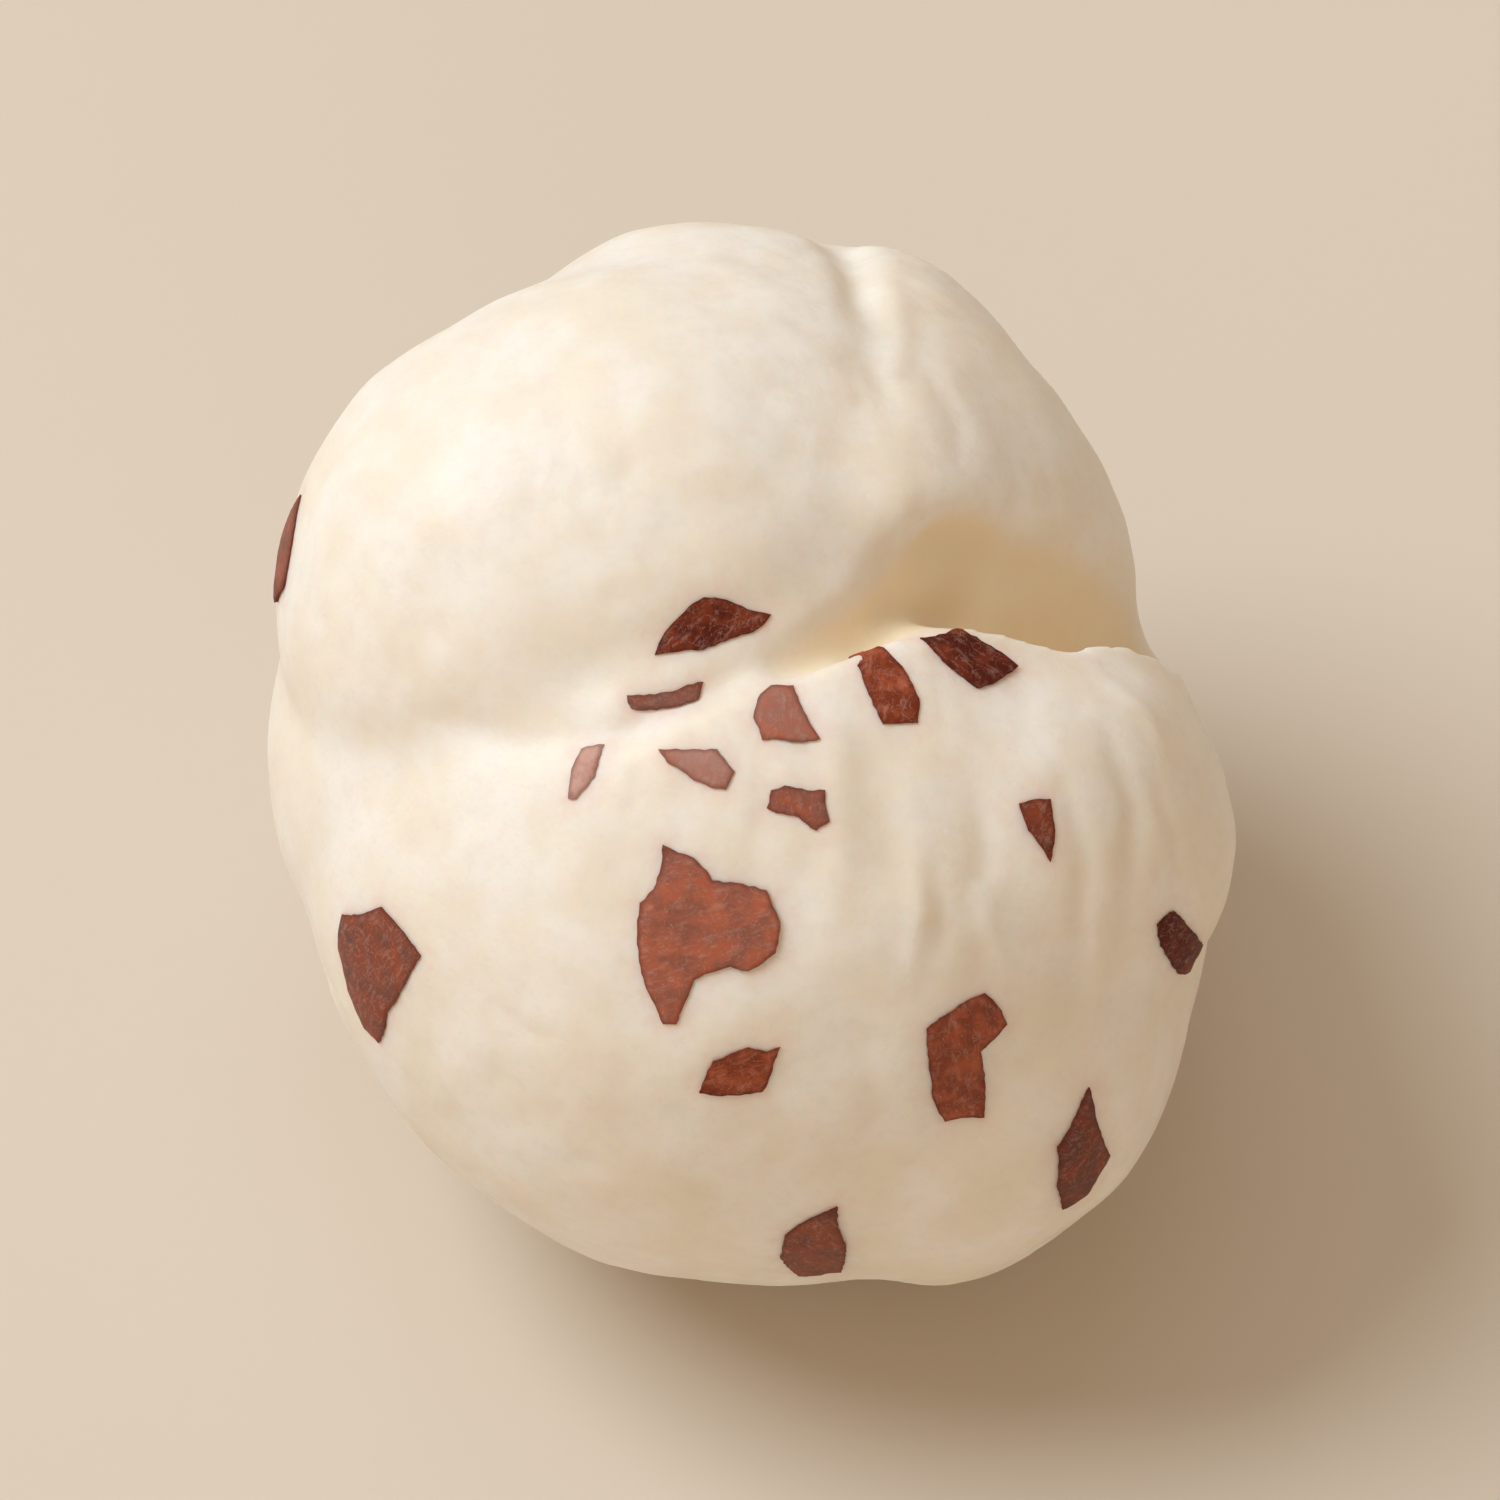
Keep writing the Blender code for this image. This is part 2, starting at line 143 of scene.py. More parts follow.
# Pleats on the near face: course as (across, up), half width, depth; a ridge has less than none
FACE_PLEATS = [
    ([(1.7, 1.6), (1.9, 0.0), (2.0, -2.2), (1.6, -4.6)], 0.45, -0.09),
    ([(2.9, 0.2), (3.1, -1.6), (3.0, -3.6)], 0.5, 0.08),
    ([(3.7, -2.2), (3.8, -3.6), (3.5, -5.2)], 0.24, -0.09),
    ([(4.2, -2.4), (4.35, -3.8), (4.1, -5.0)], 0.22, 0.05),
    ([(5.1, -2.8), (5.4, -4.0), (5.9, -5.2)], 0.22, -0.07),
    ([(5.0, -0.6), (5.3, -2.2), (5.0, -3.4)], 0.35, 0.08),
    ([(6.9, -0.2), (7.5, -2.4), (7.4, -4.2), (6.9, -6.6)], 0.35, 0.11),
    ([(7.9, 0.8), (8.6, -1.2), (8.5, -3.4), (8.0, -5.4)], 0.35, 0.11),
    ([(7.6, -3.2), (7.9, -4.8), (7.7, -6.4)], 0.25, -0.08),
    ([(8.0, 1.6), (8.9, 0.9), (9.5, -0.4)], 0.3, -0.08),
    ([(9.0, -0.6), (9.6, -2.0), (9.6, -3.2)], 0.25, 0.09),
    ([(2.6, -6.0), (2.9, -8.0), (2.4, -9.6)], 0.5, 0.08),
    ([(0.2, 1.0), (0.3, -1.4), (0.1, -3.4)], 0.4, 0.05),
    ([(-3.4, 0.2), (-4.4, -1.6), (-5.0, -4.0)], 0.5, 0.06),
    ([(-5.8, -5.4), (-5.0, -6.2), (-4.0, -6.4)], 0.3, 0.08),
    ([(3.9, 8.9), (4.7, 7.6), (4.8, 6.2)], 0.4, 0.08),
    ([(3.2, 10.8), (3.4, 9.4), (3.2, 8.2)], 0.35, -0.08),
    ([(-0.8, 8.6), (0.6, 7.6), (1.6, 6.2)], 0.5, 0.06),
    ([(-6.4, 7.6), (-3.2, 9.4), (0.0, 10.2)], 0.6, 0.06),
]
PLEAT_STEPS = 12

# Puckers and dimples, drawn within these ranges, which are in millimetres
PUCKERED_FOLDS = ("horn_valley", "back_seam", "back_pleat", "scar", "scar")
PUCKER_SEED = 5
PUCKERS = 90
PUCKER_STEP = 0.3 * MM
PUCKER_LENGTHS = (1.2, 3.6)
PUCKER_WIDTHS = (0.18, 0.36)
PUCKER_DEPTHS = (0.015, 0.05)
DIMPLE_SEED = 21
DIMPLES = 420
DIMPLE_SIZES = (0.16, 0.5)
DIMPLE_STEEPNESS = (0.04, 0.11)

CREASE_STRETCH = Vector((0.8, 0.3, 0.55))
CREASE_PATCHES = 0.24
CREASE_COVER = 0.25
CREASE_DEPTH = 0.05 * MM
FULL_FOLD = 1.6
SCAR_REACH = 2.4 * MM
CLEAR_OF_NUT = 30 * MM

IVORY = (0.88, 0.80, 0.68, 1)
CHALK = (0.91, 0.86, 0.79, 1)
# Tan for the folds: partly the kernel's own tint, partly painted warm shade
FOLD_TINT_AND_SHADE = (0.95, 0.79, 0.56, 1)
DULL_GREY = (0.80, 0.73, 0.66, 1)
STAIN_PINK = (0.90, 0.70, 0.60, 1)
SCAR_OCHRE = (0.66, 0.42, 0.17, 1)
SCAR_BROWN = (0.20, 0.09, 0.035, 1)


def pick_only(*pieces):
    bpy.ops.object.select_all(action="DESELECT")
    for piece in pieces:
        piece.select_set(True)
    bpy.context.view_layer.objects.active = pieces[0]


def finish_with(piece, kind, **settings):
    """Add a modifier and apply it."""
    modifier = piece.modifiers.new(kind.title(), kind)
    for setting, value in settings.items():
        setattr(modifier, setting, value)
    pick_only(piece)
    bpy.ops.object.modifier_apply(modifier=modifier.name)


def run_together(name, puffs, smoothing):
    """Join overlapping puffs and blend them into one smooth skin."""
    pick_only(*puffs)
    bpy.ops.object.join()
    bpy.ops.object.transform_apply(location=True, rotation=True, scale=True)
    body = bpy.context.object
    body.name = name
    body.data.name = name
    finish_with(body, "REMESH", mode="VOXEL", voxel_size=COARSE_GRAIN)
    finish_with(body, "SMOOTH", factor=0.5, iterations=smoothing)
    return body


def skin_of(piece):
    """The piece's surface, for finding points on it."""
    bm = bmesh.new()
    bm.from_mesh(piece.data)
    skin = BVHTree.FromBMesh(bm)
    bm.free()
    return skin


def fold_stations(name):
    course = FOLDS[name][1]
    stations = []
    for here, after in zip(course, course[1:]):
        for step in range(FOLD_STEPS):
            share = step / FOLD_STEPS
            stations.append([a + (b - a) * share for a, b in zip(here, after)])
    stations.append(course[-1])
    return stations


def fold_puffs(name, skin):
    """Flat puffs in a chain, sunk in the skin along the fold's course."""
    burrow = Vector(FOLDS[name][0])
    stations = fold_stations(name)
    puffs = []
    for index, (across, up, near, half_width, depth) in enumerate(stations):
        before = Vector(stations[max(index - 1, 0)][:3])
        after = Vector(stations[min(index + 1, len(stations) - 1)][:3])
        point, normal, _, _ = skin.find_nearest(Vector((across, up, near)) * MM)
        out = (normal - burrow).normalized()
        wall = out.cross(after - before).normalized()
        stance = Matrix((wall.cross(out), wall, out)).transposed()
        bpy.ops.mesh.primitive_ico_sphere_add(
            subdivisions=3, radius=MM, location=point, rotation=stance.to_euler(),
            scale=(half_width + FOLD_OVERLAP, half_width, depth))
        puffs.append(bpy.context.object)
    return puffs


def swell(piece, noise_size, height):
    """Push the skin out and in by a soft noise."""
    noise = bpy.data.textures.new("swelling", "CLOUDS")
    noise.noise_scale = noise_size
    noise.noise_depth = 1
    finish_with(piece, "DISPLACE", texture=noise, texture_coords="LOCAL",
                strength=height, mid_level=0.5)


def per_vertex(mesh, collection, key):
    """Three numbers of each vertex, as an array."""
    values = np.empty(len(mesh.vertices) * 3)
    getattr(mesh, collection).foreach_get(key, values)
    return values.reshape(-1, 3)


def line_on_face(skin, course):
    """Close points on the near face along a course of (across, up)."""
    points = []
    for here, after in zip(course, course[1:]):
        for step in range(PLEAT_STEPS):
            across, up = [a + (b - a) * step / PLEAT_STEPS for a, b in zip(here, after)]
            start = Vector((across * MM, up * MM, CLEAR_OF_NUT))
            point = skin.ray_cast(start, Vector((0, 0, -1)))[0]
            if point:
                points.append(point)
    return points


def line_over_skin(skin, start, heading, length):
    """Close points from a start over the skin, following its curve."""
    points = []
    point, normal, _, _ = skin.find_nearest(start)
    for _ in range(int(length / PUCKER_STEP)):
        points.append(point)
        heading = (heading - normal * heading.dot(normal)).normalized()
        point, normal, _, _ = skin.find_nearest(point + heading * PUCKER_STEP)
    return points


def pleat_depth(places, points, half_width, depth):
    """How far a pleat along the points lowers each place."""
    line = np.array(points)
    low = line.min(0) - 3 * half_width
    high = line.max(0) + 3 * half_width
    close = np.flatnonzero(((places > low) & (places < high)).all(1))
    gaps = np.linalg.norm(places[close, None] - line[None], axis=2)
    share = (gaps.argmin(1) + 0.5) / len(line)
    fall = np.zeros(len(places))
    fall[close] = (np.exp(-(gaps.min(1) / half_width) ** 2)
                   * np.sin(math.pi * share) ** 0.7 * depth)
    return fall


def crease_depth(place):
    """Fine upright creases of dried skin, in patches with smooth skin between."""
    spot = Vector(place) / MM
    patch = max(0.0, CREASE_COVER + fractal.noise(spot * CREASE_PATCHES))
    lines = fractal.ridged_multi_fractal(spot * CREASE_STRETCH, 1.0, 2.1, 3, 1.0, 2.0)
    return patch * lines * CREASE_DEPTH


def note(piece, name, values):
    """Keep a number for each vertex, for the piece's material."""
    attribute = piece.data.attributes.new(name, "FLOAT", "POINT")
    attribute.data.foreach_set("value", np.asarray(values, dtype=np.float32))


puffs = []
for centre, radii, turn in LOBES.values():
    bpy.ops.mesh.primitive_ico_sphere_add(
        subdivisions=4, radius=MM, location=Vector(centre) * MM,
        rotation=(0, 0, math.radians(turn)), scale=radii)
    puffs.append(bpy.context.object)
kernel = run_together("popped_kernel", puffs, LOBE_SMOOTHING)

unfolded_skin = skin_of(kernel)
puffs = [puff for name in FOLDS for puff in fold_puffs(name, unfolded_skin)]
cutter = run_together("folds", puffs, FOLD_SMOOTHING)
finish_with(kernel, "BOOLEAN", operation="DIFFERENCE", solver="EXACT", object=cutter)
bpy.data.objects.remove(cutter)
finish_with(kernel, "REMESH", mode="VOXEL", voxel_size=COARSE_GRAIN)
finish_with(kernel, "SMOOTH", factor=0.5, iterations=LIP_SMOOTHING)
swell(kernel, *SWELLING)
finish_with(kernel, "REMESH", mode="VOXEL", voxel_size=FINE_GRAIN)
finish_with(kernel, "SMOOTH", factor=0.5, iterations=SKIN_SMOOTHING)
swell(kernel, *RIPPLING)

skin = skin_of(kernel)
places = per_vertex(kernel.data, "vertices", "co")
lowering = np.zeros(len(places))
for course, half_width, depth in FACE_PLEATS:
    lowering += pleat_depth(places, line_on_face(skin, course), half_width * MM, depth * MM)

draw = random.Random(PUCKER_SEED)
for _ in range(PUCKERS):
    station = draw.choice(fold_stations(draw.choice(PUCKERED_FOLDS)))
    heading = Vector([draw.gauss(0, 1) for _ in range(3)])
    start = Vector(station[:3]) * MM + heading.normalized() * MM
    points = line_over_skin(skin, start, heading, draw.uniform(*PUCKER_LENGTHS) * MM)
    lowering += pleat_depth(places, points, draw.uniform(*PUCKER_WIDTHS) * MM,
                            draw.uniform(*PUCKER_DEPTHS) * MM)

draw = random.Random(DIMPLE_SEED)
for _ in range(DIMPLES):
    centre = places[draw.randrange(len(places))]
    size = draw.uniform(*DIMPLE_SIZES) * MM
    gap = np.linalg.norm(places - centre, axis=1)
    lowering += np.exp(-(gap / size) ** 2) * size * draw.uniform(*DIMPLE_STEEPNESS)

lowering += [crease_depth(place) for place in places]
places -= per_vertex(kernel.data, "vertex_normals", "vector") * lowering[:, None]
kernel.data.vertices.foreach_set("co", places.ravel())
kernel.data.update()

# How deep each place lies under the skin as it was before it folded, in millimetres
depths = []
for place in places:
    point, normal, _, _ = unfolded_skin.find_nearest(Vector(place))
    depths.append((point - Vector(place)).dot(normal) / MM)
# This depth sets the tan in the folds, partly painted warm shade
note(kernel, "fold", np.clip(np.array(depths) / FULL_FOLD, 0, 1))
scar_line = np.array([station[:3] for station in fold_stations("scar")]) * MM
scar_gap = np.linalg.norm(places[:, None] - scar_line[None], axis=2).min(1)
note(kernel, "scar", np.clip(1 - scar_gap / SCAR_REACH, 0, 1))

# The lowest point is pressed flat, and the nut is set down where its model lies
kernel.data.transform(Matrix.Rotation(LEAN, 4, "X"))
lowest = per_vertex(kernel.data, "vertices", "co").min(0)[2]
pick_only(kernel)
bpy.ops.object.mode_set(mode="EDIT")
bpy.ops.mesh.select_all(action="SELECT")
bpy.ops.mesh.bisect(plane_co=(0, 0, lowest + FLAT_SPOT_DEPTH), plane_no=(0, 0, 1),
                    use_fill=True, clear_inner=True, threshold=CUT_TOLERANCE)
bpy.ops.mesh.poke()
bpy.ops.object.mode_set(mode="OBJECT")
places = per_vertex(kernel.data, "vertices", "co")
low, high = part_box("fox_nut")
set_down = (low + high - Vector(places.min(0) + places.max(0))) / 2
set_down.z = low.z - places[:, 2].min()
kernel.data.transform(Matrix.Translation(set_down))
kernel.data.shade_smooth()


def add_node(tree, kind, inputs, **settings):
    """Add a node, with each input set to a value or joined to another node's output."""
    node = tree.nodes.new(kind)
    for setting, value in settings.items():
        setattr(node, setting, value)
    for key, value in inputs.items():
        if isinstance(value, bpy.types.NodeSocket):
            tree.links.new(value, node.inputs[key])
        else:
            node.inputs[key].default_value = value
    return node


def blend(tree, share, first, second):
    return add_node(tree, "ShaderNodeMix", {0: share, 6: first, 7: second},
                    data_type="RGBA").outputs[2]


def eased(tree, value, low, high, start=0.0, end=1.0):
    """The value eased from start at low to end at high."""
    return add_node(tree, "ShaderNodeMapRange", {
        "Value": value, "From Min": low, "From Max": high, "To Min": start, "To Max": end},
        interpolation_type="SMOOTHSTEP").outputs["Result"]


def math_node(tree, operation, first, second):
    return add_node(tree, "ShaderNodeMath", {0: first, 1: second},
                    operation=operation).outputs[0]


def noted(tree, name):
    return add_node(tree, "ShaderNodeAttribute", {}, attribute_name=name).outputs["Fac"]


def noise(tree, spot, scale, detail, roughness=0.5):
    return add_node(tree, "ShaderNodeTexNoise", {
        "Vector": spot, "Scale": scale, "Detail": detail,
        "Roughness": roughness}).outputs["Fac"]


def place_in_mm(tree):
    coordinates = add_node(tree, "ShaderNodeTexCoord", {}).outputs["Object"]
    return add_node(tree, "ShaderNodeVectorMath", {0: coordinates, "Scale": 1 / MM},
                    operation="SCALE").outputs["Vector"]


def new_material(name):
    material = bpy.data.materials.new(name)
    material.use_nodes = True
    return material, material.node_tree, material.node_tree.nodes["Principled BSDF"]


def kernel_finish():
    """Dense ivory starch with a satin skin, stained at the scar, and warmer in the folds: partly
    its own tint there, partly painted warm shade.
    """
    material, tree, surface = new_material("popped_kernel")
    spot = place_in_mm(tree)
    cloudy = noise(tree, spot, 0.45, 3)
    flecked = noise(tree, spot, 2.6, 3, 0.6)
    colour = blend(tree, eased(tree, cloudy, 0.35, 0.65), IVORY, CHALK)
    colour = blend(tree, eased(tree, flecked, 0.45, 0.65, 0.0, 0.2), colour, DULL_GREY)
    # Deeper in a fold the colour turns tan: partly the kernel's own tint, partly painted warm
    # shade
    fold = eased(tree, noted(tree, "fold"), 0.15, 0.5, 0.0, 0.9)
    colour = blend(tree, fold, colour, FOLD_TINT_AND_SHADE)
    stain = math_node(tree, "MULTIPLY", noted(tree, "stain"),
                      eased(tree, flecked, 0.3, 0.7, 0.2, 0.8))
    colour = blend(tree, stain, colour, STAIN_PINK)
    scar = math_node(tree, "ADD", noted(tree, "scar"),
                     eased(tree, flecked, 0.3, 0.7, -0.2, 0.2))
    colour = blend(tree, eased(tree, scar, 0.15, 0.8, 0.0, 0.9), colour, SCAR_OCHRE)
    colour = blend(tree, eased(tree, scar, 0.82, 1.0, 0.0, 0.85), colour, SCAR_BROWN)
    satin = noise(tree, spot, 0.9, 4, 0.6)
    pores = add_node(tree, "ShaderNodeTexVoronoi", {
        "Vector": spot, "Scale": 3.2}).outputs["Distance"]
    relief = math_node(tree, "ADD", math_node(tree, "MULTIPLY", noise(tree, spot, 7, 2), 0.6),
                       math_node(tree, "MULTIPLY", eased(tree, pores, 0, 0.35), 0.4))
    bump = add_node(tree, "ShaderNodeBump", {"Height": relief, "Strength": 0.4,
                                             "Distance": 0.03 * MM})
    tree.links.new(colour, surface.inputs["Base Color"])
    tree.links.new(eased(tree, satin, 0.35, 0.65, 0.42, 0.62), surface.inputs["Roughness"])
    tree.links.new(bump.outputs["Normal"], surface.inputs["Normal"])
    surface.inputs["Subsurface Weight"].default_value = 0.55
    surface.inputs["Subsurface Radius"].default_value = (1.0, 0.6, 0.35)
    surface.inputs["Subsurface Scale"].default_value = 0.9 * MM
    surface.inputs["IOR"].default_value = 1.42
    return material


kernel.data.materials.append(kernel_finish())
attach(kernel, "root")
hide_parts("fox_nut")

# Seed coat flakes
# The hard red-brown coat of the seed shattered as the kernel burst out of it. Flakes of it
# stayed stuck to the skin: thin, stiff and crisp edged, lying to the curve of the kernel,
# with the skin a little stained round each.

# Flakes on the near face: centre (across, up), how dark, how pale, and the corners round it
FACE_FLAKES = {
    "leaf": ((-0.8, 2.8), 0.75, 0.0, [
        (-1.3, -0.6), (-0.2, -0.5), (0.9, -0.1), (1.3, 0.3), (0.4, 0.6), (-0.2, 0.7),
        (-0.9, 0.1)]),
    "bar": ((-1.9, 1.3), 0.7, 0.2, [
        (-0.7, -0.3), (0.0, -0.3), (0.8, -0.1), (0.9, 0.3), (0.2, 0.1), (-0.8, 0.0)]),
    "sliver": ((-3.6, -0.4), 0.3, 0.85, [
        (-0.4, -0.6), (-0.2, -0.6), (0.2, -0.1), (0.4, 0.6), (-0.1, 0.5)]),
    "wedge": ((-1.1, -0.3), 0.45, 0.45, [
        (-0.7, 0.1), (-0.1, -0.3), (0.6, -0.5), (0.8, -0.1), (0.4, 0.4), (-0.9, 0.4)]),
    "trapeze": ((0.9, 0.9), 0.4, 0.3, [
        (-0.8, -0.1), (-0.6, -0.6), (-0.2, -0.6), (0.7, -0.6), (0.1, 0.6), (-0.4, 0.6),
        (-0.7, 0.3)]),
    "block": ((1.1, -1.2), 0.5, 0.15, [
        (-0.7, 0.0), (0.0, -0.2), (0.4, -0.5), (0.7, -0.3), (0.6, 0.4), (-0.3, 0.5),
        (-0.6, 0.4)]),
    "brick": ((3.0, 1.6), 0.45, 0.0, [
        (0.0, -1.0), (0.8, -1.0), (0.8, -0.4), (-0.1, 1.0), (-0.8, 0.8)]),
    "shard": ((4.9, 2.1), 0.8, 0.0, [
        (-0.3, -0.3), (0.2, -0.7), (1.1, -0.2), (-0.2, 0.8), (-1.0, 0.8)]),
    "boot": ((-0.9, -4.0), 0.35, 0.15, [
        (-1.5, 0.7), (-1.4, -1.1), (-1.0, -2.0), (-0.7, -2.0), (-0.3, -1.0), (0.5, -0.7),
        (0.9, -0.8), (1.5, -0.4), (1.6, 0.3), (1.3, 1.0), (0.1, 1.2), (-0.3, 1.7),
        (-1.0, 2.0), (-1.2, 1.0)]),
    "lozenge": ((-8.2, -4.9), 0.65, 0.1, [
        (-0.8, -0.4), (-0.7, -1.4), (-0.1, -1.6), (0.1, -0.9), (0.5, -0.3), (0.9, 0.4),
        (0.0, 1.5), (-0.9, 1.3), (-1.0, 0.5)]),
    "spur": ((-0.2, -7.0), 0.45, 0.0, [
        (0.5, -0.5), (0.7, -0.1), (0.9, 0.5), (0.6, 0.4), (0.2, 0.5), (-0.6, 0.2),
        (-0.9, -0.5)]),
    "tooth": ((6.4, -1.7), 0.65, 0.05, [
        (0.3, -0.7), (0.4, 0.0), (0.3, 0.7), (-0.4, 0.6), (-0.2, 0.0)]),
    "chip": ((9.7, -4.3), 0.95, 0.0, [
        (-0.5, 0.0), (-0.1, -0.6), (0.6, -0.8), (0.7, -0.1), (-0.2, 0.8), (-0.6, 0.5)]),
    "elbow": ((4.85, -6.8), 0.4, 0.05, [
        (-0.5, -1.4), (0.4, -1.3), (0.3, 0.2), (0.9, 0.8), (0.4, 1.5), (-0.5, 1.0),
        (-0.9, 0.7), (-0.8, -0.4)]),
    "spindle": ((7.5, -8.9), 0.85, 0.1, [
        (-0.6, -0.8), (-0.3, -1.6), (0.1, -1.0), (0.6, -0.1), (0.3, 0.6), (0.1, 1.5),
        (-0.2, 0.8), (-0.6, 0.1)]),
    "brim": ((1.4, -11.1), 0.65, 0.1, [
        (-0.7, -0.2), (-0.3, -1.0), (0.7, -0.8), (0.8, 0.1), (0.6, 1.0), (-0.6, 0.3)]),
}

# Flakes round the sides: a patch's middle (across, up, near), spread in degrees, count.
# The first is one flake at the left edge of the near face
HIDDEN_PATCHES = [
    ((-1.0, 0.45, 0.24), 0, 1),
    ((-0.9, -0.1, -0.5), 17, 6),
    ((-0.7, 0.7, -0.4), 17, 5),
    ((0.3, 0.9, -0.5), 18, 6),
    ((0.9, 0.0, -0.5), 18, 7),
    ((0.2, -0.5, -0.8), 18, 4),
]
HIDDEN_SEED = 11
HIDDEN_LIMIT = -0.25
HIDDEN_SPACING = math.radians(15)
SCAR_CLEARANCE = math.radians(16)
REST_CLEARANCE = math.radians(24)

FLAKE_LENGTHS = (0.7, 0.8, 0.9, 1.0, 1.2, 1.5, 1.9)
FLAKE_SLIMNESS = (0.45, 0.85)
FLAKE_CORNERS = (5, 8)
CORNER_STRAY = 0.28
CORNER_REACH = (0.72, 1.12)

# Sizes along a flake's outline and over its face are in millimetres
TEAR_SEED = 3
TEAR_STEP = 0.13
TEAR_DEPTH = 0.018
FLAKE_GRAIN = 0.13
FLAKE_REACH = 8.0
FLAKE_STRAY = 0.5
STEEPEST = 0.35
EDGE_ROUNDING = 0.1
EDGE_TINT = 0.35
FLAKE_EDGE_HEIGHT = 0.04 * MM
FLAKE_HEIGHT = 0.075 * MM
FLAKE_LIFTS = (0.0, 0.0, 0.03 * MM, 0.05 * MM)
FLAKE_ROOT = 0.22 * MM
STAIN_REACH = 0.6 * MM

RUSSET = (0.42, 0.10, 0.045, 1)
MAHOGANY = (0.22, 0.042, 0.016, 1)
MAROON = (0.09, 0.014, 0.008, 1)
BLEACHED_PINK = (0.58, 0.34, 0.28, 1)


def ragged_corners(draw):
    """A torn flake's outline: a few corners round a stretched and turned oval."""
    length = draw.choice(FLAKE_LENGTHS)
    width = length * draw.uniform(*FLAKE_SLIMNESS)
    turn = draw.uniform(0, math.tau)
    count = draw.randint(*FLAKE_CORNERS)
    corners = []
    for index in range(count):
        angle = math.tau * (index + draw.uniform(-CORNER_STRAY, CORNER_STRAY)) / count
        reach = draw.uniform(*CORNER_REACH)
        x = length * reach * math.cos(angle)
        y = width * reach * math.sin(angle)
        corners.append((x * math.cos(turn) - y * math.sin(turn),
                        x * math.sin(turn) + y * math.cos(turn)))
    return corners


def hidden_flakes():
    """Draw a direction and an outline for each flake on the hidden sides."""
    draw = random.Random(HIDDEN_SEED)
    scar = Vector(FOLDS["scar"][1][1][:3]).normalized()
    down = Vector((0, -math.sin(LEAN), -math.cos(LEAN)))
    flakes = []
    for middle, spread, count in HIDDEN_PATCHES:
        placed = 0
        while placed < count:
            wander = math.tan(math.radians(spread))
            stray = Vector([draw.gauss(0, wander) for _ in range(3)])
            direction = (Vector(middle).normalized() + stray).normalized()
            clear = ((direction.z < HIDDEN_LIMIT or spread == 0)
                     and direction.angle(scar) > SCAR_CLEARANCE
                     and direction.angle(down) > REST_CLEARANCE
                     and all(direction.angle(other) > HIDDEN_SPACING for other, _ in flakes))
            if clear:
                flakes.append((direction, ragged_corners(draw)))
                placed += 1
    return flakes


def torn_outline(corners, draw):
    """The outline with its straight runs bowed and broken up by small tears."""
    outline = []
    for (x0, y0), (x1, y1) in zip(corners, corners[1:] + corners[:1]):
        length = math.hypot(x1 - x0, y1 - y0)
        steps = max(2, round(length / TEAR_STEP))
        bow = draw.uniform(-0.05, 0.07) * length
        for step in range(steps):
            share = step / steps
            off = bow * math.sin(math.pi * share)
            if step:
                off += draw.uniform(-TEAR_DEPTH, TEAR_DEPTH)
            outline.append(Vector((x0 + (x1 - x0) * share + (y1 - y0) / length * off,
                                   y0 + (y1 - y0) * share - (x1 - x0) / length * off)))
    return outline


def gap_to_edge(point, outline):
    gaps = []
    for here, after in zip(outline, outline[1:] + outline[:1]):
        run = after - here
        share = max(0.0, min(1.0, (point - here).dot(run) / run.length_squared))
        gaps.append((point - here - run * share).length)
    return min(gaps)


def is_inside(point, outline):
    crossings = 0
    for (x0, y0), (x1, y1) in zip(outline, outline[1:] + outline[:1]):
        if (y0 > point.y) != (y1 > point.y):
            crossings += point.x < x0 + (point.y - y0) / (y1 - y0) * (x1 - x0)
    return crossings % 2 == 1


def flake_points(outline):
    """The outline and, inside it, staggered rows of points."""
    lows = [min(point[axis] for point in outline) for axis in (0, 1)]
    highs = [max(point[axis] for point in outline) for axis in (0, 1)]
    points = list(outline)
    for row in range(int((highs[1] - lows[1]) / FLAKE_GRAIN) + 2):
        for column in range(int((highs[0] - lows[0]) / FLAKE_GRAIN) + 2):
            point = Vector((lows[0] + (column + row % 2 / 2) * FLAKE_GRAIN,
                            lows[1] + row * FLAKE_GRAIN))
            if is_inside(point, outline) and gap_to_edge(point, outline) > FLAKE_GRAIN / 2:
                points.append(point)
    return points


def corners_on_skin(corners, origin, stance):
    """The skin under each corner as seen along the stance, or close by where it falls away."""
    right, top, out = stance
    normal = skin.find_nearest(origin)[1]
    footing = normal if normal.dot(out) > STEEPEST else (normal + out).normalized()
    landed = []
    for x, y in corners:
        level = right * x + top * y
        point, _, _, _ = skin.ray_cast(origin + (level + out * FLAKE_REACH) * MM, -out)
        along = (level - out * level.dot(footing) / out.dot(footing)) * MM
        if point is None or (point - origin - along).length > FLAKE_STRAY * along.length:
            point = skin.find_nearest(origin + along)[0]
        landed.append(point)
    return landed


